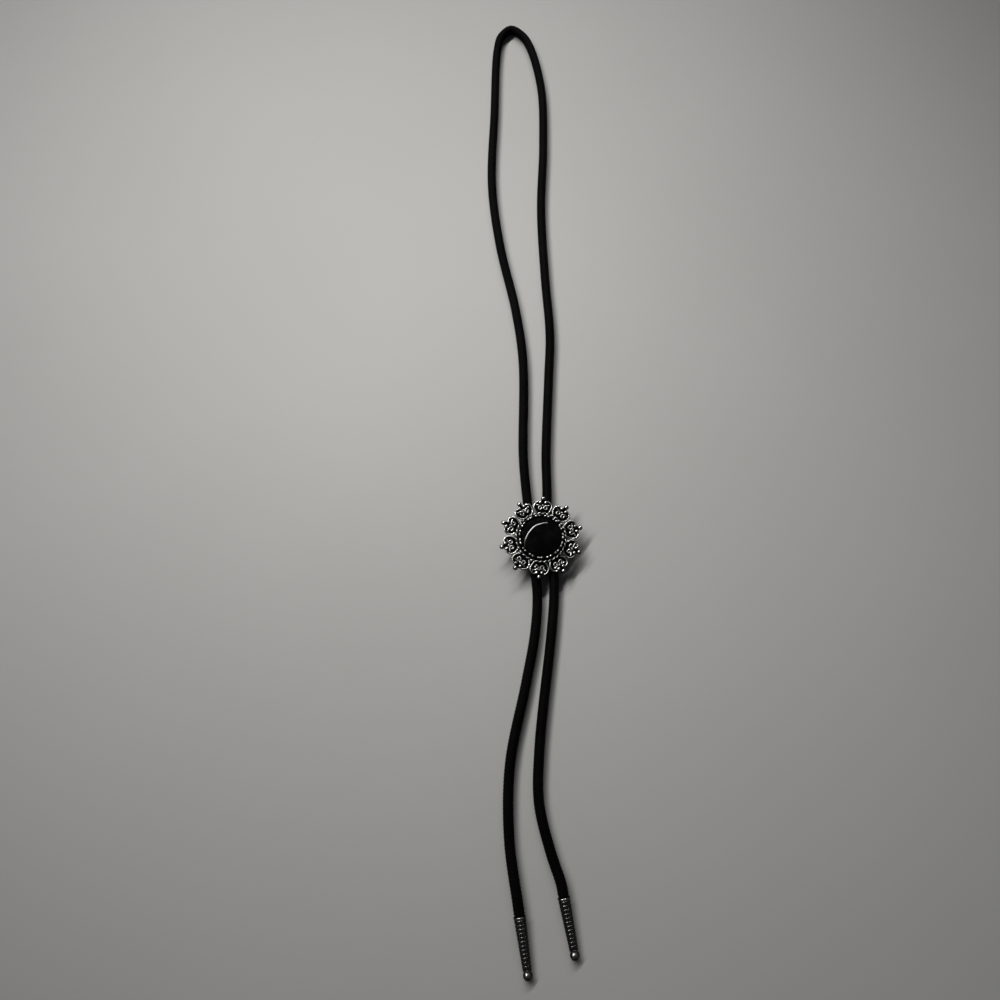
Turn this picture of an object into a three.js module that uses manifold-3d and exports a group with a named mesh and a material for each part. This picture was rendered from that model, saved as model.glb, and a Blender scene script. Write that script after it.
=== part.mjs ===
// Bolo tie: a round braided cord with two metal tips, held by a filigree slide with a black stone.
// Millimetres, +Z up out of the slide's front. The origin is the centre of the clip's flat back,
// and +Y runs along the clip's two channels towards the neck loop.

import * as THREE from 'three';
import { mergeVertices } from 'three/addons/utils/BufferGeometryUtils.js';
import Module from 'manifold-3d';

const wasm = await Module();
wasm.setup();

// Driving dimensions
const CORD_DIAMETER = 4.8;
const CORD_SIDES = 10;
const STEPS_PER_STRETCH = 2;
const GAP = 0.3;
const SLIDE_DIAMETER = 40.6;
const STONE_DIAMETER = 18.8;
const STONE_HEIGHT = 3.1;
const STONE_GIRDLE = 0.5;
const DOME_STEPS = 5;
const TIP_LENGTH = 24.2;
const PETAL_COUNT = 10;
const PETAL_TURN = THREE.MathUtils.degToRad(-9);

// Clip: a plain block with one channel for each strand of the cord, open along the slide's back
const CHANNEL_SPACING = 9;
const CHANNEL_RADIUS = CORD_DIAMETER / 2 + GAP;
const CHANNEL_FLOOR = 0.6;
const CHANNEL_SIDE_WALL = 0.8;
const CHANNEL_STEPS = 14;
const CHANNEL_Z = CHANNEL_FLOOR + CHANNEL_RADIUS;
const CLIP_LENGTH = 22;
const CLIP_HEIGHT = CHANNEL_Z + CORD_DIAMETER / 2;
const CLIP_WIDTH = CHANNEL_SPACING + 2 * (CHANNEL_RADIUS + CHANNEL_SIDE_WALL);
const CLIP_BACK_CORNER = 1.6;
const CLIP_FRONT_CORNER = 1;

// Slide frame: heights are from its flat back, radii from its centre
const BASE_RADIUS = 11.8;
const BASE_THICKNESS = 1.2;
const BEZEL_INNER = STONE_DIAMETER / 2 + GAP;
const BEZEL_WALL = 1.1;
const BEZEL_HEIGHT = 2.4;
const BEAD_PAIRS = 15;
const BEAD_RADIUS = 0.6;
const BEAD_PITCH = THREE.MathUtils.degToRad(8.6);
const FIRST_PAIR = THREE.MathUtils.degToRad(6);
const ROPE_RADIUS = 11.8;
const ROPE_THICKNESS = 1.3;
const ROPE_HEIGHT = 1.05;
const ROPE_LOBES = 35;
const ROPE_WAIST = 0.3;
const ROPE_SIDES = 6;
const ROUND_SIDES = 35;

// Petal: on a thin backing, two mirrored hoops with a curl inside each, a pair of balls where the
// hoops end, a small ball between the curls and a larger ball at the tip
const BACKING_THICKNESS = 0.5;
const WIRE_DIAMETER = 0.76;
const WIRE_SIDES = 5;
const WIRE_HEIGHT = 0.7;
const OUTER_BALL_RADIUS = 1.12;
const INNER_BALL_RADIUS = 1.0;
const HEART_BALL_RADIUS = 0.62;
const OUTER_BALL_OUT = SLIDE_DIAMETER / 2 - OUTER_BALL_RADIUS;
const INNER_BALL_OUT = OUTER_BALL_OUT - 1.98;
const INNER_BALL_SIDE = 1.27;
const HEART_BALL_OUT = OUTER_BALL_OUT - 3.4;

// One hoop, from the inner ball round the outside to the rope ring: side is the distance from the
// petal's middle line, out the distance from the slide's centre
const HOOP = [
  { side: 1.27, out: 17.2 },
  { side: 2.3, out: 17.6 },
  { side: 3.35, out: 17.15 },
  { side: 4.08, out: 16.25 },
  { side: 4.3, out: 15.1 },
  { side: 4.05, out: 14.0 },
  { side: 3.5, out: 13.15 },
  { side: 2.6, out: 12.1 },
];
const HOOP_STEPS = 7;

// One curl, from its tail by the hoop into its eye: turn is the angle at the eye, reach the
// distance from it
const EYE_OUT = 14.6;
const EYE_SIDE = 1.4;
const CURL = [
  { turn: 37, reach: 2.15 },
  { turn: 60, reach: 1.4 },
  { turn: 90, reach: 1.02 },
  { turn: 135, reach: 0.85 },
  { turn: 200, reach: 0.78 },
  { turn: 270, reach: 0.74 },
  { turn: 340, reach: 0.71 },
  { turn: 420, reach: 0.68 },
];
const CURL_STEPS = 9;

// Tip: distances are from its mouth, towards the ball
const TIP_SIDES = 12;
const TIP_RIM_RADIUS = 2.7;
const TIP_RIM_WIDTH = 0.9;
const TIP_TUBE_START_RADIUS = 2.6;
const TIP_TUBE_END_RADIUS = 1.9;
const TIP_TUBE_END = 19.9;
const TIP_NECK_RADIUS = 1.6;
const TIP_BALL_RADIUS = 2.05;
const TIP_GROOVES = [6.5, 11, 15.5];
const GROOVE_WIDTH = 0.6;
const GROOVE_DEPTH = 0.18;
const TIP_BORE_RADIUS = 1.85;
const TIP_BORE_DEPTH = 5.5;
const PLUG_RADIUS = TIP_BORE_RADIUS - GAP;
const PLUG_LENGTH = TIP_BORE_DEPTH - 0.4;

// Where the cord lies: LAID on the surface, HELD in the clip's channels
const LAID = CORD_DIAMETER / 2 + 0.05;
const HELD = CHANNEL_Z;
const CHANNEL_X = CHANNEL_SPACING / 2;

// Route of the cord's centre line, from the left tip up through the clip, round the neck loop
// and back down through the clip to the right tip
const ROUTE = [
  [-25.4, -159.5, 2.74],
  [-25.7, -154.5, 2.85],
  [-27.0, -130.0, LAID],
  [-23.9, -100.0, LAID],
  [-13.6, -66.4, LAID],
  [-7.2, -44.0, LAID],
  [-4.4, -27.0, LAID + 0.1],
  [-CHANNEL_X, -12.0, HELD],
  [-CHANNEL_X, 0.0, HELD],
  [-CHANNEL_X, 12.0, HELD],
  [-4.6, 27.0, LAID + 0.1],
  [-4.2, 44.0, LAID],
  [0.6, 95.0, LAID],
  [-0.4, 125.0, LAID],
  [-5.1, 165.0, LAID],
  [-6.2, 205.0, LAID],
  [-0.5, 255.0, LAID],
  [5.2, 301.0, LAID],
  [8.5, 311.0, LAID],
  [14.8, 315.9, LAID],
  [21.1, 310.6, LAID],
  [24.9, 301.0, LAID],
  [28.2, 270.0, LAID],
  [25.2, 230.0, LAID],
  [19.5, 186.5, LAID],
  [17.2, 145.0, LAID],
  [16.1, 109.0, LAID],
  [12.8, 84.5, LAID],
  [7.1, 43.0, LAID],
  [5.8, 27.0, LAID + 0.1],
  [CHANNEL_X, 12.0, HELD],
  [CHANNEL_X, 0.0, HELD],
  [CHANNEL_X, -12.0, HELD],
  [3.5, -27.0, LAID + 0.1],
  [0.5, -44.0, LAID],
  [-10.4, -95.0, LAID],
  [-12.8, -117.0, LAID],
  [-9.8, -137.0, LAID],
  [-6.8, -149.0, 2.85],
  [-6.3, -154.0, 2.74],
];

const cordBlack = new THREE.MeshStandardMaterial({ color: 0x0e0d0d, roughness: 0.75, metalness: 0 });
const antiqueSilver = new THREE.MeshStandardMaterial({ color: 0xa7a5a0, roughness: 0.35, metalness: 1 });
const blackStone = new THREE.MeshStandardMaterial({ color: 0x050505, roughness: 0.06, metalness: 0 });
const plainSteel = new THREE.MeshStandardMaterial({ color: 0x8d8d8c, roughness: 0.45, metalness: 1 });

// Solids and meshes

function solidOf(geometry) {
  const plain = geometry.clone();
  plain.deleteAttribute('normal');
  plain.deleteAttribute('uv');
  const merged = mergeVertices(plain, 1e-4);
  const index = merged.index.array;
  const faces = [];
  for (let i = 0; i < index.length; i += 3) {
    const [a, b, c] = [index[i], index[i + 1], index[i + 2]];
    if (a !== b && b !== c && c !== a) {
      faces.push(a, b, c);
    }
  }
  const vertProperties = Float32Array.from(merged.attributes.position.array);
  const triVerts = Uint32Array.from(faces);
  return new wasm.Manifold(new wasm.Mesh({ numProp: 3, vertProperties, triVerts }));
}

function geometryOf(solid) {
  const mesh = solid.getMesh();
  const geometry = new THREE.BufferGeometry();
  geometry.setAttribute('position', new THREE.BufferAttribute(mesh.vertProperties, 3));
  geometry.setIndex(new THREE.BufferAttribute(mesh.triVerts, 1));
  geometry.computeVertexNormals();
  return geometry;
}

function joined(geometries) {
  const [first, ...others] = geometries.map(solidOf);
  return geometryOf(others.reduce((sum, solid) => sum.add(solid), first));
}

function namedMesh(name, geometry, material) {
  const mesh = new THREE.Mesh(geometry, material);
  mesh.name = name;
  return mesh;
}

// Turned about Z: profile is a list of [radius, height], up the outside
function turned(profile, sides) {
  const points = profile.map(([radius, height]) => new THREE.Vector2(radius, height));
  return new THREE.LatheGeometry(points, sides).rotateX(Math.PI / 2);
}

function polygonShape(radius, sides) {
  const shape = new THREE.Shape();
  for (let i = 0; i < sides; i += 1) {
    const angle = ((i + 0.5) / sides) * 2 * Math.PI;
    const [x, y] = [radius * Math.cos(angle), radius * Math.sin(angle)];
    if (i === 0) {
      shape.moveTo(x, y);
    } else {
      shape.lineTo(x, y);
    }
  }
  shape.closePath();
  return shape;
}

function tubeAlong(curve, radius, sides, steps) {
  curve.arcLengthDivisions = 20 * steps;
  const shape = polygonShape(radius, sides);
  return new THREE.ExtrudeGeometry(shape, { steps, bevelEnabled: false, extrudePath: curve });
}

function ball(radius, sides, x, y, z) {
  const rings = Math.round(sides / 2) - 1;
  return new THREE.SphereGeometry(radius, sides, rings).rotateX(Math.PI / 2).translate(x, y, z);
}

// Cord

function tipDirection(mouth, before) {
  return new THREE.Vector3().subVectors(mouth, before).setZ(0).normalize();
}

function makeCord(route, leftTip, rightTip) {
  const curve = new THREE.CatmullRomCurve3(route, false, 'centripetal');
  // Steps are even between the route's points, which lie closer where the cord bends
  curve.getUtoTmapping = (u) => u;
  const steps = STEPS_PER_STRETCH * (route.length - 1);
  const tube = tubeAlong(curve, CORD_DIAMETER / 2, CORD_SIDES, steps);
  const overlap = 1;
  const plugs = [leftTip, rightTip].map((tip) => {
    const plug = turned([[0, -overlap], [PLUG_RADIUS, -overlap], [PLUG_RADIUS, PLUG_LENGTH],
      [0, PLUG_LENGTH]], CORD_SIDES);
    return plug.translate(0, 0, -GAP).applyMatrix4(tip.matrix);
  });
  return namedMesh('cord', joined([tube, ...plugs]), cordBlack);
}

// Tip

function tubeRadiusAt(along) {
  const share = (along - TIP_RIM_WIDTH) / (TIP_TUBE_END - TIP_RIM_WIDTH);
  return THREE.MathUtils.lerp(TIP_TUBE_START_RADIUS, TIP_TUBE_END_RADIUS, share);
}

function tipProfile() {
  const profile = [[TIP_BORE_RADIUS, 0], [TIP_RIM_RADIUS, 0], [TIP_RIM_RADIUS, TIP_RIM_WIDTH],
    [TIP_TUBE_START_RADIUS, TIP_RIM_WIDTH + 0.2]];
  for (const middle of TIP_GROOVES) {
    const [from, to] = [middle - GROOVE_WIDTH / 2, middle + GROOVE_WIDTH / 2];
    profile.push([tubeRadiusAt(from), from]);
    profile.push([tubeRadiusAt(middle) - GROOVE_DEPTH, middle]);
    profile.push([tubeRadiusAt(to), to]);
  }
  profile.push([TIP_TUBE_END_RADIUS, TIP_TUBE_END]);
  const ballCentre = TIP_LENGTH - TIP_BALL_RADIUS;
  const neckAngle = Math.asin(TIP_NECK_RADIUS / TIP_BALL_RADIUS);
  const ballSteps = 6;
  for (let i = 0; i <= ballSteps; i += 1) {
    const angle = THREE.MathUtils.lerp(Math.PI - neckAngle, 0, i / ballSteps);
    profile.push([TIP_BALL_RADIUS * Math.sin(angle), ballCentre + TIP_BALL_RADIUS * Math.cos(angle)]);
  }
  return profile;
}

function makeTip(name) {
  const bore = [[0, TIP_BORE_DEPTH], [TIP_BORE_RADIUS, TIP_BORE_DEPTH]];
  const geometry = turned([...bore, ...tipProfile()], TIP_SIDES);
  return namedMesh(name, geometryOf(solidOf(geometry)), antiqueSilver);
}

// A tip lies with its rim and its ball on the surface, so its axis dips towards the ball
function tipPlace(end, before) {
  const ballCentre = TIP_LENGTH - TIP_BALL_RADIUS;
  const dip = Math.asin((TIP_RIM_RADIUS - TIP_BALL_RADIUS) / ballCentre);
  const direction = tipDirection(end, before).multiplyScalar(Math.cos(dip)).setZ(-Math.sin(dip));
  const place = new THREE.Group();
  place.quaternion.setFromUnitVectors(new THREE.Vector3(0, 0, 1), direction);
  place.position.copy(end).addScaledVector(direction, GAP);
  place.updateMatrix();
  return place;
}

// Clip

function arcPoints(x, y, radius, from, to, steps) {
  const points = [];
  for (let i = 0; i <= steps; i += 1) {
    const angle = THREE.MathUtils.degToRad(THREE.MathUtils.lerp(from, to, i / steps));
    points.push(new THREE.Vector2(x + radius * Math.cos(angle), y + radius * Math.sin(angle)));
  }
  return points;
}

// Each channel opens along the clip's front, and its mouth is narrower than the cord
function makeClip() {
  const mouth = THREE.MathUtils.radToDeg(Math.acos((CLIP_HEIGHT - CHANNEL_Z) / CHANNEL_RADIUS));
  const channel = (x) => arcPoints(x, CHANNEL_Z, CHANNEL_RADIUS, 90 - mouth, mouth - 270, CHANNEL_STEPS);
  const backX = CLIP_WIDTH / 2 - CLIP_BACK_CORNER;
  const frontX = CLIP_WIDTH / 2 - CLIP_FRONT_CORNER;
  const frontY = CLIP_HEIGHT - CLIP_FRONT_CORNER;
  const shape = new THREE.Shape([
    ...arcPoints(backX, CLIP_BACK_CORNER, CLIP_BACK_CORNER, -90, 0, 6),
    ...arcPoints(frontX, frontY, CLIP_FRONT_CORNER, 0, 90, 5),
    ...channel(CHANNEL_X),
    ...channel(-CHANNEL_X),
    ...arcPoints(-frontX, frontY, CLIP_FRONT_CORNER, 90, 180, 5),
    ...arcPoints(-backX, CLIP_BACK_CORNER, CLIP_BACK_CORNER, 180, 270, 6),
  ]);
  const block = new THREE.ExtrudeGeometry(shape, { depth: CLIP_LENGTH, bevelEnabled: false });
  block.rotateX(Math.PI / 2).translate(0, CLIP_LENGTH / 2, 0);
  return namedMesh('cord_clip', geometryOf(solidOf(block)), plainSteel);
}

// Slide frame

function hoopGeometry(side) {
  const points = HOOP.map((row) => new THREE.Vector3(side * row.side, row.out, WIRE_HEIGHT));
  const curve = new THREE.CatmullRomCurve3(points, false, 'centripetal');
  return tubeAlong(curve, WIRE_DIAMETER / 2, WIRE_SIDES, HOOP_STEPS);
}

function curlGeometry(side) {
  const points = CURL.map(({ turn, reach }) => {
    const angle = THREE.MathUtils.degToRad(turn);
    const [x, y] = [EYE_SIDE + reach * Math.cos(angle), EYE_OUT + reach * Math.sin(angle)];
    return new THREE.Vector3(side * x, y, WIRE_HEIGHT);
  });
  const curve = new THREE.CatmullRomCurve3(points, false, 'centripetal');
  return tubeAlong(curve, WIRE_DIAMETER / 2, WIRE_SIDES, CURL_STEPS);
}

// The backing reaches from under the rope ring to under the outer ball
function backingGeometry() {
  const left = HOOP.slice(1).map((row) => new THREE.Vector2(-row.side, row.out));
  const right = HOOP.slice(1).map((row) => new THREE.Vector2(row.side, row.out)).reverse();
  const tip = new THREE.Vector2(0, OUTER_BALL_OUT - 0.3);
  const root = new THREE.Vector2(0, BASE_RADIUS - 0.5);
  const shape = new THREE.Shape([tip, ...left, root, ...right]);
  return new THREE.ExtrudeGeometry(shape, { depth: BACKING_THICKNESS, bevelEnabled: false });
}

function petalGeometry() {
  return joined([
    backingGeometry(),
    hoopGeometry(-1),
    hoopGeometry(1),
    curlGeometry(-1),
    curlGeometry(1),
    ball(OUTER_BALL_RADIUS, 10, 0, OUTER_BALL_OUT, WIRE_HEIGHT + 0.2),
    ball(INNER_BALL_RADIUS, 10, -INNER_BALL_SIDE, INNER_BALL_OUT, WIRE_HEIGHT + 0.15),
    ball(INNER_BALL_RADIUS, 10, INNER_BALL_SIDE, INNER_BALL_OUT, WIRE_HEIGHT + 0.15),
    ball(HEART_BALL_RADIUS, 8, 0, HEART_BALL_OUT, WIRE_HEIGHT + 0.1),
  ]);
}

function bezelGeometry() {
  const outer = BEZEL_INNER + BEZEL_WALL;
  return turned([
    [0, 0],
    [BASE_RADIUS, 0],
    [BASE_RADIUS, BASE_THICKNESS],
    [outer, BASE_THICKNESS],
    [outer, BEZEL_HEIGHT],
    [BEZEL_INNER, BEZEL_HEIGHT],
    [BEZEL_INNER, BASE_THICKNESS],
    [0, BASE_THICKNESS],
  ], ROUND_SIDES);
}

function beadGeometries() {
  const beads = [];
  const radius = BEZEL_INNER + BEZEL_WALL / 2;
  for (let i = 0; i < BEAD_PAIRS; i += 1) {
    for (const side of [-1, 1]) {
      const bead = ball(BEAD_RADIUS, 8, radius, 0, BEZEL_HEIGHT + 0.08);
      beads.push(bead.rotateZ(FIRST_PAIR + (i / BEAD_PAIRS) * 2 * Math.PI + side * BEAD_PITCH / 2));
    }
  }
  return beads;
}

// A ring that swells once for each lobe of the rope
function ropeGeometry() {
  const rope = new THREE.TorusGeometry(ROPE_RADIUS, ROPE_THICKNESS / 2, ROPE_SIDES, 2 * ROPE_LOBES);
  const points = rope.attributes.position;
  const point = new THREE.Vector3();
  for (let i = 0; i < points.count; i += 1) {
    point.fromBufferAttribute(points, i);
    const around = Math.atan2(point.y, point.x);
    const middle = new THREE.Vector3(Math.cos(around), Math.sin(around), 0).multiplyScalar(ROPE_RADIUS);
    const swell = 1 - ROPE_WAIST * (0.5 - 0.5 * Math.cos(ROPE_LOBES * around));
    point.sub(middle).multiplyScalar(swell).add(middle);
    points.setXYZ(i, point.x, point.y, point.z);
  }
  return rope.translate(0, 0, ROPE_HEIGHT);
}

function makeFrame() {
  const petal = petalGeometry();
  const petals = [];
  for (let i = 0; i < PETAL_COUNT; i += 1) {
    petals.push(petal.clone().rotateZ((i / PETAL_COUNT) * 2 * Math.PI));
  }
  const whole = joined([bezelGeometry(), ropeGeometry(), ...petals, ...beadGeometries()]);
  return namedMesh('slide_frame', whole, antiqueSilver);
}

// Stone: a low cabochon, which is a shallow dome on an upright girdle

function makeStone() {
  const radius = STONE_DIAMETER / 2;
  const rise = STONE_HEIGHT - STONE_GIRDLE;
  const domeRadius = (radius ** 2 + rise ** 2) / (2 * rise);
  const profile = [[0, 0], [radius, 0], [radius, STONE_GIRDLE]];
  for (let i = 1; i <= DOME_STEPS; i += 1) {
    const angle = THREE.MathUtils.lerp(Math.asin(radius / domeRadius), 0, i / DOME_STEPS);
    profile.push([domeRadius * Math.sin(angle), STONE_HEIGHT - domeRadius * (1 - Math.cos(angle))]);
  }
  return namedMesh('stone', geometryOf(solidOf(turned(profile, ROUND_SIDES))), blackStone);
}

// Assembly

const boloTie = new THREE.Group();
const route = ROUTE.map(([x, y, z]) => new THREE.Vector3(x, y, z));
const last = route.length - 1;
const leftTip = tipPlace(route[0], route[1]);
const rightTip = tipPlace(route[last], route[last - 1]);
leftTip.add(makeTip('tip_left'));
rightTip.add(makeTip('tip_right'));
boloTie.add(makeCord(route, leftTip, rightTip), leftTip, rightTip, makeClip());

const slide = new THREE.Group();
slide.position.z = CLIP_HEIGHT + GAP;
slide.rotation.z = PETAL_TURN;
const stone = makeStone();
stone.position.z = BASE_THICKNESS + GAP;
slide.add(makeFrame(), stone);
boloTie.add(slide);

export default boloTie;
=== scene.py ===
"""Bolo tie, laid on a pale board: braided black cord, filigree slide with a black stone, two metal tips.

Metres, +Z up out of the slide's front, +Y along the clip's channels towards the neck loop.
"""
import math

import bpy
import numpy as np
from mathutils import Matrix, Vector


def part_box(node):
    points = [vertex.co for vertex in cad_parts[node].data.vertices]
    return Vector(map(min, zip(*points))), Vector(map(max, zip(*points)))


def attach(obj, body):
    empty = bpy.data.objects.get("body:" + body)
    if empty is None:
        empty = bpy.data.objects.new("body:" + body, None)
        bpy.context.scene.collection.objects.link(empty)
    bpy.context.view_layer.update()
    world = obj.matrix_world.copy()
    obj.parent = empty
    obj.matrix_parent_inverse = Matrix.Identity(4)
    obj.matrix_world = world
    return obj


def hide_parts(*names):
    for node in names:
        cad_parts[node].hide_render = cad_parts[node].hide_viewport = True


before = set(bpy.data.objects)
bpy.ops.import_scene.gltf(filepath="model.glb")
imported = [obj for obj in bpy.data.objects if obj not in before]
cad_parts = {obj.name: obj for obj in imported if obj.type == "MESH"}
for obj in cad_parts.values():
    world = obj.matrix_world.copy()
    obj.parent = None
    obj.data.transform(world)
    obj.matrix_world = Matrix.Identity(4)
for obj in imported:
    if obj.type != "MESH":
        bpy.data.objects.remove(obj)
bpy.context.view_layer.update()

MM = 0.001
CLOSE = 0.01 * MM

# Cord
CORD_DIAMETER = 4.8 * MM
GAP = 0.3 * MM
LAID = CORD_DIAMETER / 2 + 0.05 * MM
HELD = 3.3 * MM
CHANNEL_X = 4.5 * MM
CHANNEL_RADIUS = 2.7 * MM

# The cord's centre line from the left tip to the right tip: LAID on the board, HELD in the clip
ROUTE = [
    (-0.0254, -0.1595, 0.00274),
    (-0.0257, -0.1545, 0.00285),
    (-0.0270, -0.1300, LAID),
    (-0.0239, -0.1000, LAID),
    (-0.0136, -0.0664, LAID),
    (-0.0072, -0.0440, LAID),
    (-0.0044, -0.0270, LAID + 0.1 * MM),
    (-CHANNEL_X, -0.0120, HELD),
    (-CHANNEL_X, 0.0000, HELD),
    (-CHANNEL_X, 0.0120, HELD),
    (-0.0046, 0.0270, LAID + 0.1 * MM),
    (-0.0042, 0.0440, LAID),
    (0.0006, 0.0950, LAID),
    (-0.0004, 0.1250, LAID),
    (-0.0051, 0.1650, LAID),
    (-0.0062, 0.2050, LAID),
    (-0.0005, 0.2550, LAID),
    (0.0052, 0.3010, LAID),
    (0.0085, 0.3110, LAID),
    (0.0148, 0.3159, LAID),
    (0.0211, 0.3106, LAID),
    (0.0249, 0.3010, LAID),
    (0.0282, 0.2700, LAID),
    (0.0252, 0.2300, LAID),
    (0.0195, 0.1865, LAID),
    (0.0172, 0.1450, LAID),
    (0.0161, 0.1090, LAID),
    (0.0128, 0.0845, LAID),
    (0.0071, 0.0430, LAID),
    (0.0058, 0.0270, LAID + 0.1 * MM),
    (CHANNEL_X, 0.0120, HELD),
    (CHANNEL_X, 0.0000, HELD),
    (CHANNEL_X, -0.0120, HELD),
    (0.0035, -0.0270, LAID + 0.1 * MM),
    (0.0005, -0.0440, LAID),
    (-0.0104, -0.0950, LAID),
    (-0.0128, -0.1170, LAID),
    (-0.0098, -0.1370, LAID),
    (-0.0068, -0.1490, 0.00285),
    (-0.0063, -0.1540, 0.00274),
]

POINTS_PER_STRETCH = 12

# Braid: strands wind both ways round a core, each over two and under two
STRANDS_EACH_WAY = 8
BRAID_PITCH = 12.5 * MM
BRAID_STEP = 0.6 * MM
STRAND_WIDTH = 1.18 * MM
STRAND_CROWN = 0.28 * MM
STRAND_RADIUS = 2.04 * MM
STRAND_EDGE_DIP = 0.06 * MM
STRAND_WEAVE = 0.1 * MM
CORE_RADIUS = 1.96 * MM
CORE_SIDES = 12
CORE_STEP = 3 * MM

# Tip: distances are from its mouth
TIP_LENGTH = 24.2 * MM
TIP_RIM_RADIUS = 2.7 * MM
TIP_MOUTH_RADIUS = 2.28 * MM
TIP_BORE_RADIUS = 1.95 * MM
TIP_BORE_DEPTH = 3.2 * MM
TIP_MOUTH_DEPTH = 1.2 * MM
TIP_MOUTH_BEVEL = 0.2 * MM
TIP_RIM_WIDTH = 0.9 * MM
TIP_RIM_ROLL = 0.25 * MM
TIP_TUBE_START_RADIUS = 2.6 * MM
TIP_TUBE_END_RADIUS = 1.9 * MM
TIP_TUBE_END = 19.9 * MM
TIP_NECK_RADIUS = 1.6 * MM
TIP_BALL_RADIUS = 2.05 * MM
TIP_BAND = 0.2 * MM

# Stamped tiles on a tip, with grooves between them
TIP_COLUMNS = 16
TIP_ROWS = 12
SIDES_PER_COLUMN = 6
TILE_SWELL = 0.13 * MM
TILE_POLISH = 0.38
TILE_CROSS_GROOVE = 0.06 * MM
TILE_GROOVE = 0.14 * MM
TILE_SHARES = (0.07, 0.16, 0.3, 0.5, 0.7, 0.84, 0.93)

# The cord narrows where it enters a tip
CORD_INSIDE_TIP = 2.2 * MM
NECKING = 0.8
NECKING_LENGTH = 1.6 * MM
NECKING_LEAD = 0.6 * MM

# Slide: heights are from its flat back
SLIDE_BACK = 6 * MM
PETAL_COUNT = 10
PETAL_TURN = math.radians(-9)
BASE_RADIUS = 11.8 * MM
BASE_THICKNESS = 1.2 * MM
BEZEL_INNER = 9.7 * MM
BEZEL_OUTER = 10.8 * MM
BEZEL_HEIGHT = 2.4 * MM
BEZEL_SOFT = 0.12 * MM
BASE_MIDDLE_RADIUS = 0.4 * MM
BEAD_PAIRS = 15
BEAD_RADIUS = 0.6 * MM
BEAD_STRETCH = (0.9, 1.22, 1)
BEAD_LIFT = 0.1 * MM
BEAD_PITCH = math.radians(8.6)
FIRST_PAIR = math.radians(6)
ROPE_RADIUS = 11.8 * MM
ROPE_HEIGHT = 1.05 * MM
ROPE_LOBES = 35
ROPE_STRAND_RADIUS = 0.36 * MM
ROPE_TWIST_RADIUS = 0.31 * MM
ROPE_POLISH_DEPTH = 0.28 * MM
ROPE_POINTS_PER_LOBE = 24
BACKING_THICKNESS = 0.5 * MM
WIRE_RADIUS = 0.38 * MM
WIRE_HEIGHT = 0.7 * MM
OUTER_BALL_RADIUS = 1.12 * MM
INNER_BALL_RADIUS = 1.0 * MM
HEART_BALL_RADIUS = 0.62 * MM
GRANULE_FLATNESS = 0.94
OUTER_BALL_OUT = 19.18 * MM
INNER_BALL_OUT = OUTER_BALL_OUT - 1.98 * MM
INNER_BALL_SIDE = 1.27 * MM
HEART_BALL_OUT = OUTER_BALL_OUT - 3.4 * MM
EYE_OUT = 14.6 * MM
EYE_SIDE = 1.4 * MM

# One hoop: millimetres from the petal's middle line and from the slide's centre
HOOP = [(1.27, 17.2), (2.3, 17.6), (3.35, 17.15), (4.08, 16.25), (4.3, 15.1), (4.05, 14.0),
        (3.5, 13.15), (2.6, 12.1)]

# One curl: degrees at its eye, and millimetres from it
CURL = [(37, 2.2), (60, 1.45), (90, 1.08), (135, 0.92), (200, 0.86), (270, 0.83), (340, 0.8), (420, 0.78)]
CURL_RADIUS = 0.32 * MM

# Stone: heights are from its foot
STONE_RADIUS = 9.4 * MM
STONE_GIRDLE = 0.5 * MM
STONE_FOOT_CUT = (0.3 * MM, 0.25 * MM)
STONE_EDGE_DROP = 0.1 * MM
STONE_EDGE_IN = 0.05 * MM

# Clip
CLIP_CORNER = 1.2 * MM
CLIP_EDGE = 0.18 * MM
DRILL_LENGTH = 30 * MM

# Camera and board
LENS_SHARE = 0.751
CAMERA_TILT = math.radians(17)
CAMERA_ROLL = math.radians(5)
CAMERA_DISTANCE = 366 * MM
AIM = Vector((-17.7, 21.5, 2.4)) * MM
BOARD_SIZE = 6

# Lights: a ribbon of panels from the left round to the top, turned to one place on the board.
# Each elevation is a pair in degrees: azimuth, and height over the board. Powers are in watts
LIT_PLACE = Vector((-0.04, 0.115, 0))
RIBBON_DISTANCE = 1.6
RIBBON_WIDTH = 0.06
RIBBON_SPREAD = math.radians(42)
RIBBON_AZIMUTHS = (-108, 21)
RIBBON_ELEVATIONS = [(-108, 38), (-90, 41), (-75, 45), (-60, 46.2), (-40, 46.2), (-25, 42.5), (-10, 39.7),
                     (3, 36.5), (12, 32), (21, 28)]
RIBBON_POWERS = [0.004, 0.008, 0.026, 0.072, 0.092, 0.11, 0.132, 0.132, 0.135, 0.125, 0.112, 0.1, 0.08,
                 0.047]
ROOM_LIGHT = 0.026


# Camera

def add_camera():
    """Stands over the tails' end of the tie and looks down, tilted towards the neck loop."""
    camera_data = bpy.data.cameras.new("camera")
    camera_data.sensor_width = 36
    camera_data.lens = camera_data.sensor_width * LENS_SHARE
    camera_data.sensor_fit = "HORIZONTAL"
    camera_data.clip_start = 0.01
    camera = bpy.data.objects.new("camera", camera_data)
    bpy.context.scene.collection.objects.link(camera)
    turn = Matrix.Rotation(-CAMERA_ROLL, 4, "Z") @ Matrix.Rotation(CAMERA_TILT, 4, "X")
    back = turn.to_3x3() @ Vector((0, 0, 1))
    camera.matrix_world = Matrix.Translation(AIM + back * CAMERA_DISTANCE) @ turn
    bpy.context.scene.camera = camera


# Modelling helpers

def deselect():
    bpy.ops.object.select_all(action="DESELECT")


def edit_all():
    bpy.ops.object.mode_set(mode="EDIT")
    bpy.ops.mesh.select_mode(type="VERT")
    bpy.ops.mesh.select_all(action="SELECT")


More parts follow.
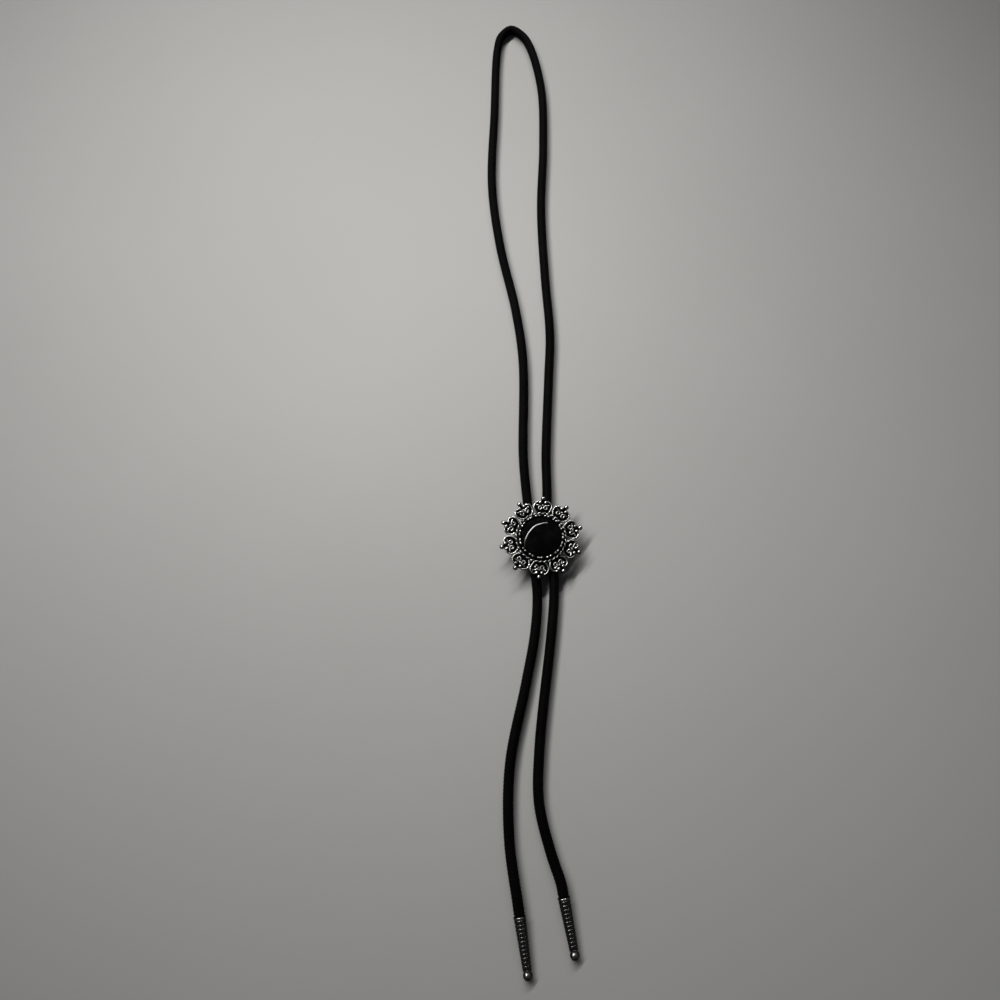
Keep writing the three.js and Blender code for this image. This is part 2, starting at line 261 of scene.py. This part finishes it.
def close_and_turn_out():
    """Merges doubles and points the faces outwards, then leaves edit mode."""
    bpy.ops.mesh.select_all(action="SELECT")
    bpy.ops.mesh.remove_doubles(threshold=1e-6)
    bpy.ops.mesh.normals_make_consistent(inside=False)
    bpy.ops.object.mode_set(mode="OBJECT")


def turned_piece(name, rings, sides):
    """A solid turned about Z: a circle extruded from ring (radius, height) to ring, closed at both ends."""
    deselect()
    radius, height = rings[0]
    bpy.ops.mesh.primitive_circle_add(vertices=sides, radius=radius, location=(0, 0, height))
    piece = bpy.context.object
    piece.name = name
    bpy.ops.object.transform_apply(location=True)
    edit_all()
    for next_radius, next_height in rings[1:]:
        rise = (0, 0, next_height - height)
        bpy.ops.mesh.extrude_region_move(TRANSFORM_OT_translate={"value": rise})
        share = next_radius / radius
        bpy.ops.transform.resize(value=(share, share, 1), center_override=(0, 0, next_height))
        radius, height = next_radius, next_height
    bpy.ops.mesh.select_all(action="DESELECT")
    bpy.ops.mesh.select_mode(type="EDGE")
    bpy.ops.mesh.select_non_manifold()
    bpy.ops.mesh.edge_face_add()
    close_and_turn_out()
    return piece


def wire_piece(name, points, radius, closed=False, sides=8):
    """A round wire along points, as a mesh."""
    curve = bpy.data.curves.new(name, "CURVE")
    curve.dimensions = "3D"
    curve.bevel_depth = radius
    curve.bevel_resolution = max(0, sides // 2 - 2)
    curve.use_fill_caps = True
    curve.resolution_u = 1
    spline = curve.splines.new("POLY")
    spline.points.add(len(points) - 1)
    for target, point in zip(spline.points, points):
        target.co = (*point, 1)
    spline.use_cyclic_u = closed
    wire = bpy.data.objects.new(name, curve)
    bpy.context.scene.collection.objects.link(wire)
    deselect()
    wire.select_set(True)
    bpy.context.view_layer.objects.active = wire
    bpy.ops.object.convert(target="MESH")
    edit_all()
    close_and_turn_out()
    return bpy.context.object


def ball_piece(name, radius, place, sides=20):
    """A granule, a little flatter than it is wide, as a melted grain is."""
    deselect()
    bpy.ops.mesh.primitive_uv_sphere_add(segments=sides, ring_count=sides // 2, radius=radius)
    piece = bpy.context.object
    piece.name = name
    edit_all()
    bpy.ops.transform.resize(value=(1, 1, GRANULE_FLATNESS))
    bpy.ops.object.mode_set(mode="OBJECT")
    piece.data.transform(Matrix.Translation(place))
    return piece


def copied(piece, matrix):
    """A copy with its own mesh, moved by matrix."""
    other = piece.copy()
    other.data = piece.data.copy()
    other.data.transform(matrix)
    bpy.context.scene.collection.objects.link(other)
    return other


def joined(name, pieces):
    deselect()
    for piece in pieces:
        piece.select_set(True)
    bpy.context.view_layer.objects.active = pieces[0]
    bpy.ops.object.join()
    whole = bpy.context.object
    whole.name = name
    whole.data.name = name
    return whole


def mark_high(piece, share):
    """Stores how far the bright metal reaches, and on the tips' balls a painted shade: a number, or a test
    of the vertex's place.
    """
    values = [share(v.co) if callable(share) else share for v in piece.data.vertices]
    attribute = piece.data.attributes.new("high", "FLOAT", "POINT")
    attribute.data.foreach_set("value", values)


def shade(piece, degrees=40):
    deselect()
    piece.select_set(True)
    bpy.context.view_layer.objects.active = piece
    bpy.ops.object.shade_smooth_by_angle(angle=math.radians(degrees))


# Cord

def smooth_line(points, per_stretch=POINTS_PER_STRETCH):
    """The centripetal Catmull-Rom curve through the points."""
    line = np.array(points, float)
    line = np.vstack([2 * line[0] - line[1], line, 2 * line[-1] - line[-2]])
    share = np.linspace(0, 1, per_stretch, endpoint=False)[:, None]
    stretches = []
    for a, b, c, d in zip(line, line[1:], line[2:], line[3:]):
        before, along, after = (math.sqrt(np.linalg.norm(q - p)) for p, q in ((a, b), (b, c), (c, d)))
        leave = along * ((b - a) / before - (c - a) / (before + along) + (c - b) / along)
        arrive = along * ((c - b) / along - (d - b) / (along + after) + (d - c) / after)
        square = 3 * (c - b) - 2 * leave - arrive
        cube = 2 * (b - c) + leave + arrive
        stretches.append(b + leave * share + square * share ** 2 + cube * share ** 3)
    return np.vstack(stretches + [line[-2:-1]])


def evenly(line, step):
    """Points a step apart along the line, and how far along it each lies."""
    run = np.concatenate([[0], np.cumsum(np.linalg.norm(np.diff(line, axis=0), axis=1))])
    at = np.linspace(0, run[-1], round(run[-1] / step) + 1)
    return np.column_stack([np.interp(at, run, line[:, k]) for k in range(3)]), at


def line_axes(line):
    """Unit vectors along the line, to its side and up from it."""
    along = np.gradient(line, axis=0)
    along /= np.linalg.norm(along, axis=1)[:, None]
    side = np.cross(along, (0, 0, 1))
    side /= np.linalg.norm(side, axis=1)[:, None]
    return along, side, np.cross(side, along)


def tube_faces(count, sides, first):
    """Quads round a tube of count rings, whose vertices start at first."""
    faces = []
    for i in range(count - 1):
        for j in range(sides):
            k = (j + 1) % sides
            low, high = first + i * sides, first + (i + 1) * sides
            faces.append((low + j, low + k, high + k, high + j))
    faces.append(tuple(first + j for j in reversed(range(sides))))
    faces.append(tuple(first + (count - 1) * sides + j for j in range(sides)))
    return faces


def necked(at):
    """How much of its full radius the cord has, since it narrows where it enters a tip."""
    end = np.minimum(at, at[-1] - at)
    share = np.clip((end - CORD_INSIDE_TIP + NECKING_LEAD) / NECKING_LENGTH, 0, 1)
    return NECKING + (1 - NECKING) * share * share * (3 - 2 * share)


def strand_points(line, at, way, number):
    """The section rings of one strand: its two edges and its crown."""
    along, side, up = line_axes(line)
    turn = way * 2 * math.pi * at / BRAID_PITCH + 2 * math.pi * number / STRANDS_EACH_WAY
    crossing = 2 * number + way * 2 * STRANDS_EACH_WAY * at / BRAID_PITCH
    lift = way * STRAND_WEAVE * np.cos(2 * math.pi * (crossing - 0.5) / 4)
    out = np.cos(turn)[:, None] * side + np.sin(turn)[:, None] * up
    round_way = -np.sin(turn)[:, None] * side + np.cos(turn)[:, None] * up
    slant = math.atan2(2 * math.pi * STRAND_RADIUS, BRAID_PITCH)
    across = math.cos(slant) * round_way - way * math.sin(slant) * along
    rings = []
    for sideways, height in ((-0.5, -STRAND_EDGE_DIP), (0, STRAND_CROWN), (0.5, -STRAND_EDGE_DIP)):
        radius = (STRAND_RADIUS + lift + height) * necked(at)
        rings.append(line + radius[:, None] * out + sideways * STRAND_WIDTH * across)
    return np.stack(rings, axis=1)


def braided_cord(line):
    """The core and the strands round it, in one mesh with a UV along each strand."""
    vertices, faces, spans = [], [], []
    core, core_at = evenly(line, CORE_STEP)
    along, side, up = line_axes(core)
    angles = 2 * math.pi * np.arange(CORE_SIDES) / CORE_SIDES
    ring = np.cos(angles)[None, :, None] * side[:, None] + np.sin(angles)[None, :, None] * up[:, None]
    tubes = [(core[:, None] + CORE_RADIUS * necked(core_at)[:, None, None] * ring, core_at)]
    fine, at = evenly(line, BRAID_STEP)
    for way in (-1, 1):
        for number in range(STRANDS_EACH_WAY):
            tubes.append((strand_points(fine, at, way, number), at))
    first = 0
    for points, run in tubes:
        count, sides = points.shape[:2]
        vertices.append(points.reshape(-1, 3))
        faces += tube_faces(count, sides, first)
        spans.append(np.column_stack([np.tile(np.arange(sides) / sides, count), np.repeat(run, sides)]))
        first += count * sides
    mesh = bpy.data.meshes.new("braided_cord")
    mesh.from_pydata(np.vstack(vertices).tolist(), [], faces)
    corners = np.zeros(len(mesh.loops), dtype=int)
    mesh.loops.foreach_get("vertex_index", corners)
    layer = mesh.uv_layers.new(name="strand")
    layer.data.foreach_set("uv", np.vstack(spans)[corners].ravel())
    piece = bpy.data.objects.new("braided_cord", mesh)
    bpy.context.scene.collection.objects.link(piece)
    deselect()
    piece.select_set(True)
    bpy.context.view_layer.objects.active = piece
    edit_all()
    bpy.ops.mesh.normals_make_consistent(inside=False)
    bpy.ops.object.mode_set(mode="OBJECT")
    shade(piece, 75)
    return piece


# Tips

def tip_matrix(end, before):
    """A tip lies with its rim and its ball on the board, so its axis dips towards the ball."""
    end, before = Vector(end), Vector(before)
    level = (end - before)
    level.z = 0
    dip = math.asin((TIP_RIM_RADIUS - TIP_BALL_RADIUS) / (TIP_LENGTH - TIP_BALL_RADIUS))
    direction = level.normalized() * math.cos(dip)
    direction.z = -math.sin(dip)
    turn = Vector((0, 0, 1)).rotation_difference(direction).to_matrix().to_4x4()
    return Matrix.Translation(end + direction * GAP) @ turn


def tube_radius_at(along):
    share = (along - TIP_RIM_WIDTH) / (TIP_TUBE_END - TIP_RIM_WIDTH)
    return TIP_TUBE_START_RADIUS + share * (TIP_TUBE_END_RADIUS - TIP_TUBE_START_RADIUS)


def select_vertices(piece, wanted):
    """Enters edit mode with just the vertices selected that the test wanted takes."""
    bpy.ops.object.mode_set(mode="EDIT")
    bpy.ops.mesh.select_mode(type="VERT")
    bpy.ops.mesh.select_all(action="DESELECT")
    bpy.ops.object.mode_set(mode="OBJECT")
    for vertex in piece.data.vertices:
        vertex.select = wanted(vertex.co)
    bpy.ops.object.mode_set(mode="EDIT")


def stamped_tip(name):
    """A tapered tube with a rolled rim, stamped all over with swelling tiles, and a ball at its end."""
    rim_foot = TIP_RIM_RADIUS - TIP_RIM_ROLL
    rings = [(TIP_BORE_RADIUS, TIP_BORE_DEPTH), (TIP_BORE_RADIUS, TIP_MOUTH_DEPTH),
             (TIP_MOUTH_RADIUS, TIP_MOUTH_BEVEL)]
    for turn in np.linspace(0, math.pi, 11):
        along = TIP_RIM_WIDTH * (0.5 - 0.5 * math.cos(turn))
        rings.append((rim_foot + TIP_RIM_ROLL * math.sin(turn), along))
    start, end = TIP_RIM_WIDTH + TIP_RIM_ROLL, TIP_TUBE_END - TIP_BAND
    row_length = (end - start) / TIP_ROWS
    grooves = [start + row * row_length for row in range(TIP_ROWS + 1)]
    for groove in grooves[:-1]:
        rings.append((tube_radius_at(groove) - TILE_SWELL - TILE_CROSS_GROOVE, groove))
        for share in TILE_SHARES:
            swell = TILE_SWELL * (1 - (2 * share - 1) ** 2)
            along = groove + share * row_length
            rings.append((tube_radius_at(along) - TILE_SWELL + swell, along))
    rings += [(TIP_TUBE_END_RADIUS - TILE_SWELL, end), (TIP_TUBE_END_RADIUS, end + 0.15 * MM),
              (TIP_TUBE_END_RADIUS, TIP_TUBE_END + 0.15 * MM), (TIP_NECK_RADIUS, TIP_TUBE_END + 0.45 * MM)]
    centre = TIP_LENGTH - TIP_BALL_RADIUS
    for angle in np.linspace(math.pi - math.asin(TIP_NECK_RADIUS / TIP_BALL_RADIUS), 0.08, 14):
        rings.append((TIP_BALL_RADIUS * math.sin(angle), centre + TIP_BALL_RADIUS * math.cos(angle)))
    sides = TIP_COLUMNS * SIDES_PER_COLUMN
    tip = turned_piece(name, rings, sides)

    def in_cross_groove(c):
        return start < c.z + CLOSE and min(abs(c.z - groove) for groove in grooves) < CLOSE

    def in_long_groove(c):
        side = round(math.atan2(c.y, c.x) / (2 * math.pi) * sides)
        outside = math.hypot(c.x, c.y) > TIP_NECK_RADIUS
        return side % SIDES_PER_COLUMN == 0 and outside and start + CLOSE < c.z < end - CLOSE

    def tip_polish_and_painted_shade(c):
        """How bright a point is: the rim fully, the tiles a little, and the ball most at its neck, fading to
        a painted shade towards its far end.
        """
        if in_cross_groove(c) or in_long_groove(c):
            return 0
        if c.z < start:
            return 1
        if c.z < TIP_TUBE_END:
            return TILE_POLISH
        # Painted shade: the ball darkens from its neck towards its far end.
        return min(max(0.8 - 1.5 * (c.z - centre) / TIP_BALL_RADIUS, 0.04), 1)

    mark_high(tip, tip_polish_and_painted_shade)
    select_vertices(tip, in_long_groove)
    share = 1 - TILE_GROOVE / tube_radius_at((start + end) / 2)
    bpy.ops.transform.resize(value=(share, share, 1), center_override=(0, 0, 0))
    bpy.ops.object.mode_set(mode="OBJECT")
    return tip


# Slide

def hoop_wire(side):
    points = [(side * across * MM, out * MM, WIRE_HEIGHT) for across, out in HOOP]
    return wire_piece("hoop", smooth_line(points, 8).tolist(), WIRE_RADIUS, sides=10)


def curl_wire(side):
    points = []
    for turn, reach in CURL:
        angle = math.radians(turn)
        across = EYE_SIDE + reach * MM * math.cos(angle)
        points.append((side * across, EYE_OUT + reach * MM * math.sin(angle), WIRE_HEIGHT))
    return wire_piece("curl", smooth_line(points, 8).tolist(), CURL_RADIUS, sides=10)


def backing():
    """The thin plate behind one petal's wires."""
    right = smooth_line([(across * MM, out * MM, 0) for across, out in HOOP[1:]], 4)[:, :2].tolist()
    left = [(-x, y) for x, y in right]
    outline = [(0, OUTER_BALL_OUT - 0.3 * MM)] + right + [(0, BASE_RADIUS - 0.5 * MM)] + left[::-1]
    curve = bpy.data.curves.new("backing", "CURVE")
    curve.dimensions = "2D"
    curve.fill_mode = "BOTH"
    curve.extrude = BACKING_THICKNESS / 2
    spline = curve.splines.new("POLY")
    spline.points.add(len(outline) - 1)
    for target, (x, y) in zip(spline.points, outline):
        target.co = (x, y, 0, 1)
    spline.use_cyclic_u = True
    plate = bpy.data.objects.new("backing", curve)
    bpy.context.scene.collection.objects.link(plate)
    deselect()
    plate.select_set(True)
    bpy.context.view_layer.objects.active = plate
    bpy.ops.object.convert(target="MESH")
    plate = bpy.context.object
    edit_all()
    close_and_turn_out()
    plate.data.transform(Matrix.Translation((0, 0, BACKING_THICKNESS / 2)))
    return plate


def petal():
    """A backing under two mirrored hoops with a curl in each, and four granules."""
    pieces = [hoop_wire(-1), hoop_wire(1), curl_wire(-1), curl_wire(1)]
    balls = [(OUTER_BALL_RADIUS, 0, OUTER_BALL_OUT, 0.2), (HEART_BALL_RADIUS, 0, HEART_BALL_OUT, 0.1)]
    balls += [(INNER_BALL_RADIUS, side * INNER_BALL_SIDE, INNER_BALL_OUT, 0.15) for side in (-1, 1)]
    for radius, across, out, lift in balls:
        pieces.append(ball_piece("granule", radius, Vector((across, out, WIRE_HEIGHT + lift * MM))))
    for piece in pieces:
        mark_high(piece, 1)
    plate = backing()
    mark_high(plate, 0)
    return joined("petal", pieces + [plate])


def rope_ring():
    """Two twisted strands that close into one wire, because the twist has an odd number of lobes."""
    points = []
    for t in np.linspace(0, 2 * math.pi, ROPE_POINTS_PER_LOBE * ROPE_LOBES, endpoint=False):
        out = ROPE_RADIUS + ROPE_TWIST_RADIUS * math.cos(ROPE_LOBES * t)
        height = ROPE_HEIGHT + ROPE_TWIST_RADIUS * math.sin(ROPE_LOBES * t)
        points.append((out * math.cos(2 * t), out * math.sin(2 * t), height))
    rope = wire_piece("rope", points, ROPE_STRAND_RADIUS, closed=True)
    top = ROPE_HEIGHT + ROPE_TWIST_RADIUS + ROPE_STRAND_RADIUS
    mark_high(rope, lambda c: min(max((c.z - top) / ROPE_POLISH_DEPTH + 1, 0), 1))
    return rope


def bezel():
    """The base plate with the cup that holds the stone."""
    soft = BEZEL_SOFT
    rings = [(BASE_MIDDLE_RADIUS, 0), (BASE_RADIUS - soft, 0), (BASE_RADIUS, soft),
             (BASE_RADIUS, BASE_THICKNESS), (BEZEL_OUTER + soft, BASE_THICKNESS),
             (BEZEL_OUTER, BASE_THICKNESS + soft),
             (BEZEL_OUTER, BEZEL_HEIGHT - soft), (BEZEL_OUTER - soft, BEZEL_HEIGHT),
             (BEZEL_INNER + soft, BEZEL_HEIGHT), (BEZEL_INNER, BEZEL_HEIGHT - soft),
             (BEZEL_INNER, BASE_THICKNESS), (BASE_MIDDLE_RADIUS, BASE_THICKNESS)]
    cup = turned_piece("bezel", rings, 120)
    mark_high(cup, 0)
    return cup


def bead_ring():
    """Granules in pairs along the bezel's top, each a little longer than it is wide."""
    bead = ball_piece("bead", BEAD_RADIUS, Vector((0, 0, 0)))
    bead.data.transform(Matrix.Diagonal((*BEAD_STRETCH, 1)))
    bead.data.transform(Matrix.Translation(((BEZEL_INNER + BEZEL_OUTER) / 2, 0, BEZEL_HEIGHT + BEAD_LIFT)))
    mark_high(bead, 1)
    beads = []
    for i in range(BEAD_PAIRS):
        for side in (-0.5, 0.5):
            angle = FIRST_PAIR + 2 * math.pi * i / BEAD_PAIRS + side * BEAD_PITCH
            beads.append(copied(bead, Matrix.Rotation(angle, 4, "Z")))
    bpy.data.objects.remove(bead)
    return beads


def filigree_slide():
    pieces = [bezel(), rope_ring()] + bead_ring()
    one = petal()
    for i in range(PETAL_COUNT):
        pieces.append(copied(one, Matrix.Rotation(2 * math.pi * i / PETAL_COUNT, 4, "Z")))
    bpy.data.objects.remove(one)
    slide = joined("filigree_slide", pieces)
    slide.data.transform(Matrix.Translation((0, 0, SLIDE_BACK)) @ Matrix.Rotation(PETAL_TURN, 4, "Z"))
    shade(slide, 50)
    return slide


# Stone

def polished_stone():
    """A low cabochon: a shallow dome on an upright girdle."""
    low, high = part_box("stone")
    height = high.z - low.z
    rise = height - STONE_GIRDLE
    dome_radius = (STONE_RADIUS ** 2 + rise ** 2) / (2 * rise)
    cut_in, cut_up = STONE_FOOT_CUT
    rings = [(STONE_RADIUS - cut_in, 0), (STONE_RADIUS, cut_up),
             (STONE_RADIUS, STONE_GIRDLE - STONE_EDGE_DROP)]
    for angle in np.linspace(math.asin((STONE_RADIUS - STONE_EDGE_IN) / dome_radius), 0.004, 40):
        rings.append((dome_radius * math.sin(angle), height - dome_radius * (1 - math.cos(angle))))
    stone = turned_piece("polished_stone", rings, 144)
    stone.data.transform(Matrix.Translation((0, 0, low.z)))
    shade(stone, 30)
    return stone


# Clip

def clip_block():
    """The plain piece behind the slide: a block with a channel for each strand of the cord."""
    low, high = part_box("cord_clip")
    deselect()
    bpy.ops.mesh.primitive_cube_add(size=1, location=(low + high) / 2, scale=high - low)
    block = bpy.context.object
    block.name = "clip_block"
    bpy.ops.object.transform_apply(location=True, rotation=True, scale=True)
    edit_all()
    bpy.ops.mesh.select_all(action="DESELECT")
    bpy.ops.mesh.select_mode(type="EDGE")
    bpy.ops.object.mode_set(mode="OBJECT")
    for edge in block.data.edges:
        a, b = (block.data.vertices[v].co for v in edge.vertices)
        edge.select = abs(a.y - b.y) > 1 * MM
    bpy.ops.object.mode_set(mode="EDIT")
    bpy.ops.mesh.bevel(offset=CLIP_CORNER, segments=6)
    bpy.ops.object.mode_set(mode="OBJECT")
    for side in (-1, 1):
        deselect()
        bpy.ops.mesh.primitive_cylinder_add(vertices=48, radius=CHANNEL_RADIUS, depth=DRILL_LENGTH,
                                            location=(side * CHANNEL_X, 0, HELD),
                                            rotation=(math.pi / 2, 0, 0))
        drill = bpy.context.object
        cut = block.modifiers.new("channel", "BOOLEAN")
        cut.object = drill
        cut.solver = "EXACT"
        bpy.context.view_layer.objects.active = block
        bpy.ops.object.modifier_apply(modifier=cut.name)
        bpy.data.objects.remove(drill)
    soften = block.modifiers.new("edges", "BEVEL")
    soften.width = CLIP_EDGE
    soften.segments = 2
    soften.limit_method = "ANGLE"
    soften.angle_limit = math.radians(40)
    deselect()
    block.select_set(True)
    bpy.context.view_layer.objects.active = block
    bpy.ops.object.modifier_apply(modifier=soften.name)
    shade(block, 35)
    return block


# Materials

def new_material(name, colour, roughness, metallic):
    material = bpy.data.materials.new(name)
    material.use_nodes = True
    tree = material.node_tree
    shader = tree.nodes["Principled BSDF"]
    shader.inputs["Base Color"].default_value = (*colour, 1)
    shader.inputs["Roughness"].default_value = roughness
    shader.inputs["Metallic"].default_value = metallic
    return material, tree, shader


def noise(tree, coordinates, scale, detail=4.0, roughness=0.5):
    node = tree.nodes.new("ShaderNodeTexNoise")
    node.inputs["Scale"].default_value = scale
    node.inputs["Detail"].default_value = detail
    node.inputs["Roughness"].default_value = roughness
    tree.links.new(coordinates, node.inputs["Vector"])
    return node.outputs["Fac"]


def spread(tree, value, low, high, to_low, to_high):
    node = tree.nodes.new("ShaderNodeMapRange")
    for name, number in (("From Min", low), ("From Max", high), ("To Min", to_low), ("To Max", to_high)):
        node.inputs[name].default_value = number
    tree.links.new(value, node.inputs["Value"])
    return node.outputs["Result"]


def mixed_colour(tree, share, dark, light):
    node = tree.nodes.new("ShaderNodeMix")
    node.data_type = "RGBA"
    node.inputs["A"].default_value = (*dark, 1)
    node.inputs["B"].default_value = (*light, 1)
    tree.links.new(share, node.inputs["Factor"])
    return node.outputs["Result"]


def bump(tree, height, distance, shader, strength=1.0):
    node = tree.nodes.new("ShaderNodeBump")
    node.inputs["Distance"].default_value = distance
    node.inputs["Strength"].default_value = strength
    tree.links.new(height, node.inputs["Height"])
    tree.links.new(node.outputs["Normal"], shader.inputs["Normal"])


def cord_black():
    """Black strands with fine lengthwise fibres and a slight sheen on their crowns."""
    material, tree, shader = new_material("cord_black", (0.002, 0.002, 0.002), 0.7, 0)
    shader.inputs["Specular IOR Level"].default_value = 0.06
    uv = tree.nodes.new("ShaderNodeUVMap")
    uv.uv_map = "strand"
    stretch = tree.nodes.new("ShaderNodeMapping")
    stretch.inputs["Scale"].default_value = (26, 900, 1)
    tree.links.new(uv.outputs["UV"], stretch.inputs["Vector"])
    fibres = noise(tree, stretch.outputs["Vector"], 1.0, 3.0)
    place = tree.nodes.new("ShaderNodeTexCoord").outputs["Object"]
    wear = noise(tree, place, 90.0, 3.0)
    fresh, worn = (0.001, 0.001, 0.0011), (0.003, 0.0028, 0.0027)
    colour = mixed_colour(tree, spread(tree, wear, 0.35, 0.7, 0, 1), fresh, worn)
    tree.links.new(colour, shader.inputs["Base Color"])
    tree.links.new(spread(tree, fibres, 0.3, 0.7, 0.58, 0.85), shader.inputs["Roughness"])
    bump(tree, fibres, 0.05 * MM, shader, 0.6)
    return material


def attribute_share(tree, name):
    node = tree.nodes.new("ShaderNodeAttribute")
    node.attribute_name = name
    return node.outputs["Fac"]


def times(tree, first, second):
    node = tree.nodes.new("ShaderNodeMath")
    node.operation = "MULTIPLY"
    tree.links.new(first, node.inputs[0])
    tree.links.new(second, node.inputs[1])
    return node.outputs["Value"]


def antique_silver(name, bright, roughness, recess_roughness):
    """Silver plate blackened in its recesses and bright on its high spots, with a painted shade that
    blackens the sides whose normal leans away from up.
    """
    material, tree, shader = new_material(name, bright, roughness, 1)
    place = tree.nodes.new("ShaderNodeTexCoord").outputs["Object"]
    blotch = noise(tree, place, 900.0, 4.0)
    fine = noise(tree, place, 4200.0, 3.0)
    # Painted shade: faces whose normal leans away from straight up get the dark colour, which hides the
    # board's reflection on the sides.
    upward_for_painted_shade = tree.nodes.new("ShaderNodeSeparateXYZ")
    tree.links.new(tree.nodes.new("ShaderNodeNewGeometry").outputs["Normal"], upward_for_painted_shade.inputs["Vector"])
    bright_share_and_painted_shade = times(tree, attribute_share(tree, "high"), spread(tree, blotch, 0.3, 0.6, 0.72, 1))
    bright_share_and_painted_shade = times(tree, bright_share_and_painted_shade, spread(tree, upward_for_painted_shade.outputs["Z"], 0.68, 0.86, 0, 1))
    # The dark colour serves both as patina in the recesses and as painted shade on the sides.
    tree.links.new(mixed_colour(tree, bright_share_and_painted_shade, (0.006, 0.0058, 0.0055), bright), shader.inputs["Base Color"])
    tree.links.new(spread(tree, bright_share_and_painted_shade, 0, 1, recess_roughness, roughness), shader.inputs["Roughness"])
    bump(tree, fine, 0.015 * MM, shader, 0.5)
    return material


def black_stone():
    """Polished black stone with faint clouding and hairline polishing marks."""
    material, tree, shader = new_material("black_stone", (0.003, 0.003, 0.0035), 0.05, 0)
    shader.inputs["Specular IOR Level"].default_value = 0.2
    place = tree.nodes.new("ShaderNodeTexCoord").outputs["Object"]
    cloud = noise(tree, place, 260.0, 5.0)
    tree.links.new(mixed_colour(tree, spread(tree, cloud, 0.4, 0.75, 0, 1), (0.0025, 0.0025, 0.003),
                                (0.007, 0.007, 0.0075)), shader.inputs["Base Color"])
    tree.links.new(spread(tree, cloud, 0.3, 0.7, 0.025, 0.05), shader.inputs["Roughness"])
    return material


def plain_steel():
    """Satin nickel-coloured metal with lengthwise brush marks."""
    material, tree, shader = new_material("plain_steel", (0.42, 0.415, 0.4), 0.4, 1)
    place = tree.nodes.new("ShaderNodeTexCoord").outputs["Object"]
    stretch = tree.nodes.new("ShaderNodeMapping")
    stretch.inputs["Scale"].default_value = (2600, 90, 2600)
    tree.links.new(place, stretch.inputs["Vector"])
    marks = noise(tree, stretch.outputs["Vector"], 1.0, 3.0)
    colour = mixed_colour(tree, marks, (0.3, 0.295, 0.285), (0.55, 0.545, 0.53))
    tree.links.new(colour, shader.inputs["Base Color"])
    tree.links.new(spread(tree, marks, 0.3, 0.7, 0.3, 0.5), shader.inputs["Roughness"])
    bump(tree, marks, 0.01 * MM, shader, 0.4)
    return material


def board_grey():
    """The pale matt board that the tie lies on."""
    material, tree, shader = new_material("board_grey", (0.62, 0.61, 0.585), 0.75, 0)
    place = tree.nodes.new("ShaderNodeTexCoord").outputs["Object"]
    cloud = noise(tree, place, 9.0, 3.0)
    grain = noise(tree, place, 700.0, 4.0)
    colour = mixed_colour(tree, cloud, (0.6, 0.59, 0.565), (0.64, 0.63, 0.605))
    tree.links.new(colour, shader.inputs["Base Color"])
    bump(tree, grain, 0.05 * MM, shader, 0.25)
    return material


def finish_piece(piece, material, node):
    """Gives a piece its material, hides the solid that it stands for and puts the piece under the root body.
    """
    piece.data.materials.clear()
    piece.data.materials.append(material)
    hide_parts(node)
    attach(piece, "root")


# Board and lights

def add_board():
    deselect()
    bpy.ops.mesh.primitive_plane_add(size=BOARD_SIZE)
    board = bpy.context.object
    board.name = "board"
    board.data.materials.append(board_grey())


def ribbon_place(azimuth):
    """A point of the ribbon's middle line. Azimuth is in degrees, clockwise from the picture's top."""
    elevation = math.radians(np.interp(azimuth, *zip(*RIBBON_ELEVATIONS)))
    heading = math.radians(azimuth) + CAMERA_ROLL
    level = math.cos(elevation)
    direction = Vector((math.sin(heading) * level, math.cos(heading) * level, math.sin(elevation)))
    return RIBBON_DISTANCE * direction


def add_panel(name, start, end, power):
    """One panel of the ribbon, from start to end, facing the lit place."""
    light = bpy.data.lights.new(name, "AREA")
    light.shape = "RECTANGLE"
    light.size, light.size_y = (end - start).length, RIBBON_WIDTH
    light.energy = power
    light.spread = RIBBON_SPREAD
    middle = (start + end) / 2
    back = (middle - LIT_PLACE).normalized()
    across = back.cross(end - start).normalized()
    along = across.cross(back)
    panel = bpy.data.objects.new(name, light)
    panel.matrix_world = Matrix.Translation(middle) @ Matrix((along, across, back)).transposed().to_4x4()
    bpy.context.scene.collection.objects.link(panel)


def add_lights():
    """A curved strip of panels from the left round to the top, in a dark room."""
    edges = [ribbon_place(azimuth) for azimuth in np.linspace(*RIBBON_AZIMUTHS, len(RIBBON_POWERS) + 1)]
    for i, power in enumerate(RIBBON_POWERS):
        add_panel(f"panel_{i}", edges[i], edges[i + 1], power)
    world = bpy.data.worlds.new("room")
    world.use_nodes = True
    background = world.node_tree.nodes["Background"]
    background.inputs["Color"].default_value = (0.9, 0.95, 1, 1)
    background.inputs["Strength"].default_value = ROOM_LIGHT
    bpy.context.scene.world = world


# Assembly

add_camera()
bpy.context.scene.view_settings.view_transform = "Standard"

line = smooth_line(ROUTE)
left_place, right_place = tip_matrix(ROUTE[0], ROUTE[1]), tip_matrix(ROUTE[-1], ROUTE[-2])
inside = Vector((0, 0, CORD_INSIDE_TIP))
full_line = np.vstack([left_place @ inside, line, right_place @ inside])
cord = braided_cord(full_line)
slide_silver = antique_silver("antique_silver", (0.95, 0.93, 0.89), 0.23, 0.4)
tip_silver = antique_silver("antique_silver_tips", (0.85, 0.83, 0.79), 0.25, 0.28)
tip_left = stamped_tip("stamped_tip_left")
tip_right = copied(tip_left, Matrix.Rotation(math.radians(9), 4, "Z"))
tip_right.name = "stamped_tip_right"
for tip, place, node in ((tip_left, left_place, "tip_left"), (tip_right, right_place, "tip_right")):
    tip.data.transform(place)
    shade(tip, 35)
    finish_piece(tip, tip_silver, node)
finish_piece(cord, cord_black(), "cord")

finish_piece(filigree_slide(), slide_silver, "slide_frame")
finish_piece(polished_stone(), black_stone(), "stone")
finish_piece(clip_block(), plain_steel(), "cord_clip")

add_board()
add_lights()
